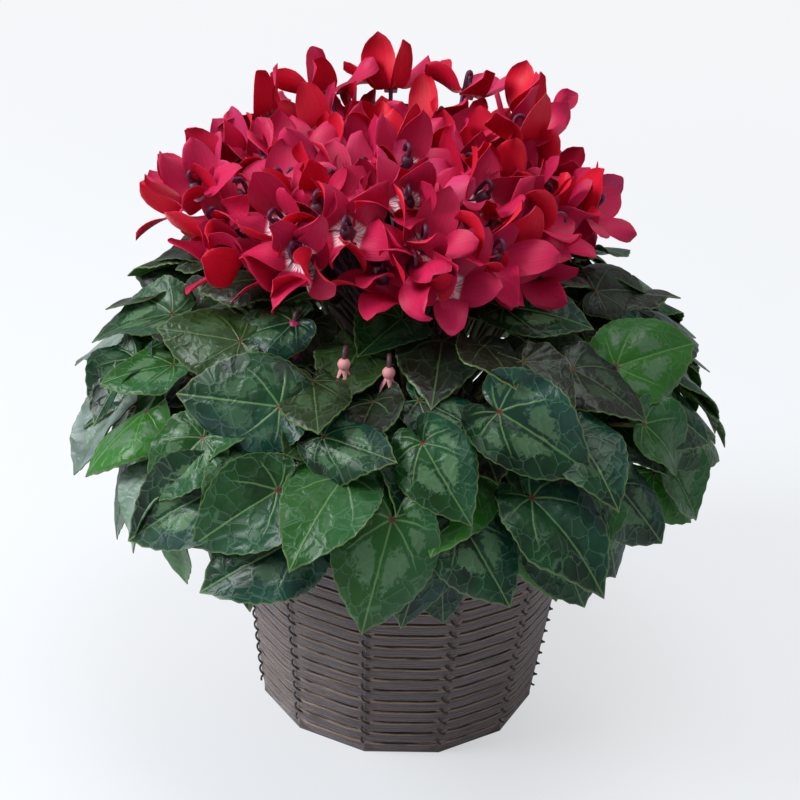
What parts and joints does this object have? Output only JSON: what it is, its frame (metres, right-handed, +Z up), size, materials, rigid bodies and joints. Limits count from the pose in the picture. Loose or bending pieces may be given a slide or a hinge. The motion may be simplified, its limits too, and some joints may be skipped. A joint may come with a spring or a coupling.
{
  "type": "potted cyclamen",
  "caption": "Florist's cyclamen with silver-marked heart leaves and reflexed red flowers, in a plastic pot inside a dark banded twelve-sided basket.",
  "frame": {"origin": "centre of the basket's flat underside, which stands on the surface", "axes": "+Z up, -Y towards the front, +X to the right as seen from the front"},
  "size_m": [0.4007, 0.4011, 0.3999],
  "materials": {
    "reed": "stained dark grey-brown flat strip, paler along its upper edge",
    "pot_plastic": "matte",
    "peat": "damp crumbly peat",
    "tuber_bark": "corky",
    "leaf_green": "satin, dark green with pale veins and silver marks",
    "petal_red": "velvety red, streaked with white at the throat",
    "bud_pink": "matte, pale pink"
  },
  "bodies": {
    "root": {"basket_frame": "reed", "basket_band_01": "reed", "basket_band_02": "reed", "basket_band_03": "reed", "basket_band_04": "reed", "basket_band_05": "reed", "basket_band_06": "reed", "basket_band_07": "reed", "basket_band_08": "reed", "basket_band_09": "reed", "basket_band_10": "reed", "basket_band_11": "reed", "basket_band_12": "reed", "basket_band_13": "reed", "basket_band_14": "reed", "basket_band_15": "reed", "basket_band_16": "reed", "basket_band_17": "reed", "basket_band_18": "reed", "grower_pot": "pot_plastic", "soil": "peat", "tuber": "tuber_bark", "leaf_01": "leaf_green", "leaf_02": "leaf_green", "leaf_03": "leaf_green", "leaf_04": "leaf_green", "leaf_05": "leaf_green", "leaf_06": "leaf_green", "leaf_07": "leaf_green", "leaf_08": "leaf_green", "leaf_09": "leaf_green", "leaf_10": "leaf_green", "leaf_11": "leaf_green", "leaf_12": "leaf_green", "leaf_13": "leaf_green", "leaf_14": "leaf_green", "leaf_15": "leaf_green", "leaf_16": "leaf_green", "leaf_17": "leaf_green", "leaf_18": "leaf_green", "leaf_19": "leaf_green", "leaf_20": "leaf_green", "flower_01": "petal_red", "flower_02": "petal_red", "flower_03": "petal_red", "flower_04": "petal_red", "flower_05": "petal_red", "flower_06": "petal_red", "flower_07": "petal_red", "flower_08": "petal_red", "flower_09": "petal_red", "flower_10": "petal_red", "flower_11": "petal_red", "flower_12": "petal_red", "flower_13": "petal_red", "flower_14": "petal_red", "flower_15": "petal_red", "bud_01": "bud_pink", "bud_02": "bud_pink", "bud_03": "bud_pink"}
  },
  "joints": []
}
